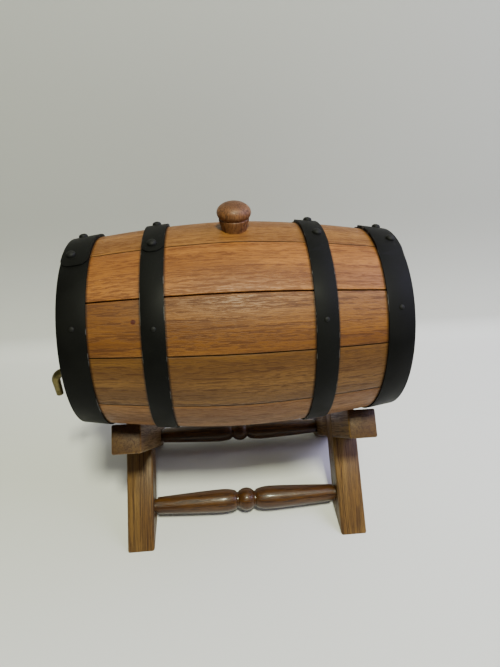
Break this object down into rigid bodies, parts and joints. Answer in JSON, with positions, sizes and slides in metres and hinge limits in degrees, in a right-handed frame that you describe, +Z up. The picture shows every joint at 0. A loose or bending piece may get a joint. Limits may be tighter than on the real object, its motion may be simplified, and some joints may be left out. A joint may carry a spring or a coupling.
{
  "type": "oak cask on stand",
  "caption": "Small oak cask with steel hoops, a turned bung on top and a brass tap in one head, lying on a stand of crossed bars joined by turned stretchers.",
  "frame": {"origin": "middle of the object's footprint on the table, under the middle of its box", "axes": "+Z up, +X along the cask's axis away from the tap, -Y the front"},
  "size_m": [0.2314, 0.1359, 0.2383],
  "materials": {
    "stave_oak": "planed oak, satin oiled",
    "head_oak": "planed oak, matt",
    "hoop_steel": "black satin paint on steel strip",
    "rivet_steel": "black satin paint on steel",
    "bung_wood": "turned hardwood, satin",
    "tap_brass": "cast and turned, tarnished",
    "stand_wood": "stained and varnished oak",
    "stretcher_wood": "turned, stained and gloss varnished"
  },
  "bodies": {
    "stand": {"left_bar_front_foot": "stand_wood", "left_bar_back_foot": "stand_wood", "right_bar_front_foot": "stand_wood", "right_bar_back_foot": "stand_wood", "front_stretcher": "stretcher_wood", "back_stretcher": "stretcher_wood"},
    "cask": {"stave_01": "stave_oak", "stave_02": "stave_oak", "stave_03": "stave_oak", "stave_04": "stave_oak", "stave_05": "stave_oak", "stave_06": "stave_oak", "stave_07": "stave_oak", "stave_08": "stave_oak", "stave_09": "stave_oak", "stave_10": "stave_oak", "stave_11": "stave_oak", "stave_12": "stave_oak", "left_head_front_board": "head_oak", "left_head_middle_board": "head_oak", "left_head_back_board": "head_oak", "right_head_front_board": "head_oak", "right_head_middle_board": "head_oak", "right_head_back_board": "head_oak", "left_chime_hoop": "hoop_steel", "left_chime_front_rivet": "rivet_steel", "left_chime_back_rivet": "rivet_steel", "left_chime_nail": "rivet_steel", "left_quarter_hoop": "hoop_steel", "left_quarter_front_rivet": "rivet_steel", "left_quarter_back_rivet": "rivet_steel", "left_quarter_nail": "rivet_steel", "right_quarter_hoop": "hoop_steel", "right_quarter_front_rivet": "rivet_steel", "right_quarter_back_rivet": "rivet_steel", "right_quarter_nail": "rivet_steel", "right_chime_hoop": "hoop_steel", "right_chime_front_rivet": "rivet_steel", "right_chime_back_rivet": "rivet_steel", "right_chime_nail": "rivet_steel", "tap_body": "tap_brass"},
    "bung": {"bung": "bung_wood"},
    "tap_plug": {"tap_plug": "tap_brass", "tap_washer": "tap_brass", "tap_nut": "tap_brass"}
  },
  "joints": [
    {"name": "cask_lift", "type": "slide", "parent": "stand", "child": "cask", "axis": [0, 0, 1], "range_m": [0, 0.12]},
    {"name": "bung_pull", "type": "slide", "parent": "cask", "child": "bung", "axis": [0, 0, 1], "range_m": [0, 0.03]},
    {"name": "tap_turn", "type": "hinge", "parent": "cask", "child": "tap_plug", "pos_m": [-0.0933, 0, 0.121], "axis": [0, 0, 1], "range_deg": [0, 90]}
  ]
}
